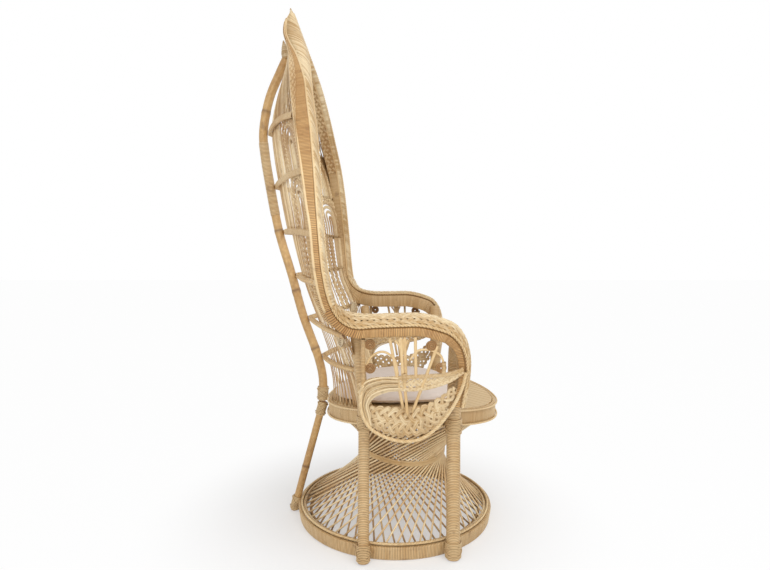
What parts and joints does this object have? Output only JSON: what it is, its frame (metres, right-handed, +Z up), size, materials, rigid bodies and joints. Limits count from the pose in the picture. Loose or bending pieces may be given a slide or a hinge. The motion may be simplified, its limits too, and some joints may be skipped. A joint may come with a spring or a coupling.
{
  "type": "peacock chair",
  "caption": "Woven rattan peacock chair: tall pointed back with a braided rim, basket arms, loose round seat pad and hourglass base of crossed stakes.",
  "frame": {"origin": "centre of the overall bounding box at floor level", "axes": "+Z up, the chair faces -Y, +X is the sitter's left"},
  "size_m": [0.986, 0.7357, 1.5534],
  "materials": {
    "wrapped_cane": "satin peeled rattan cane, wound side by side",
    "bare_pole": "semi-gloss bare rattan pole and reed",
    "woven_rattan": "matt woven core reed",
    "pad_cloth": "matt off-white cotton"
  },
  "bodies": {
    "chair": {"base_ring": "wrapped_cane", "base_bead": "wrapped_cane", "outer_stakes": "bare_pole", "inner_stakes": "bare_pole", "waist_binding": "wrapped_cane", "seat_ring": "wrapped_cane", "seat_bead_upper": "wrapped_cane", "seat_bead_lower": "wrapped_cane", "seat_deck": "woven_rattan", "leg_front_left": "wrapped_cane", "leg_front_right": "wrapped_cane", "foot_lashing_front_left": "woven_rattan", "foot_lashing_front_right": "woven_rattan", "seat_lashing_front_left": "woven_rattan", "seat_lashing_front_right": "woven_rattan", "leg_rear_left": "wrapped_cane", "leg_rear_right": "wrapped_cane", "foot_lashing_rear_left": "woven_rattan", "foot_lashing_rear_right": "woven_rattan", "seat_lashing_rear_left": "woven_rattan", "seat_lashing_rear_right": "woven_rattan", "rear_strut": "bare_pole", "spine": "bare_pole", "strut_foot_lashing": "woven_rattan", "strut_top_lashing": "woven_rattan", "spine_lashing": "woven_rattan", "spine_tip": "woven_rattan", "back_rib_1": "wrapped_cane", "back_rib_2": "wrapped_cane", "back_rib_3": "wrapped_cane", "back_rib_4": "wrapped_cane", "back_rib_5": "wrapped_cane", "back_rib_6": "wrapped_cane", "back_panel_left": "woven_rattan", "back_panel_right": "woven_rattan", "rim_braid_left": "woven_rattan", "rim_braid_right": "woven_rattan", "rim_outer_band_left": "wrapped_cane", "rim_outer_band_right": "wrapped_cane", "rim_inner_band_left": "wrapped_cane", "rim_inner_band_right": "wrapped_cane", "armrest_left": "woven_rattan", "armrest_right": "woven_rattan", "arm_outer_band_left": "wrapped_cane", "arm_outer_band_right": "wrapped_cane", "arm_inner_band_left": "wrapped_cane", "arm_inner_band_right": "wrapped_cane", "arm_screen_left": "wrapped_cane", "arm_screen_right": "wrapped_cane", "arm_loop_left": "bare_pole", "arm_loop_right": "bare_pole", "arm_lattice_left": "woven_rattan", "arm_lattice_right": "woven_rattan"},
    "cushion": {"seat_cushion": "pad_cloth"}
  },
  "joints": [
    {"name": "cushion_lift", "type": "slide", "parent": "chair", "child": "cushion", "axis": [0, 0, 1], "range_m": [0, 0.3]}
  ]
}
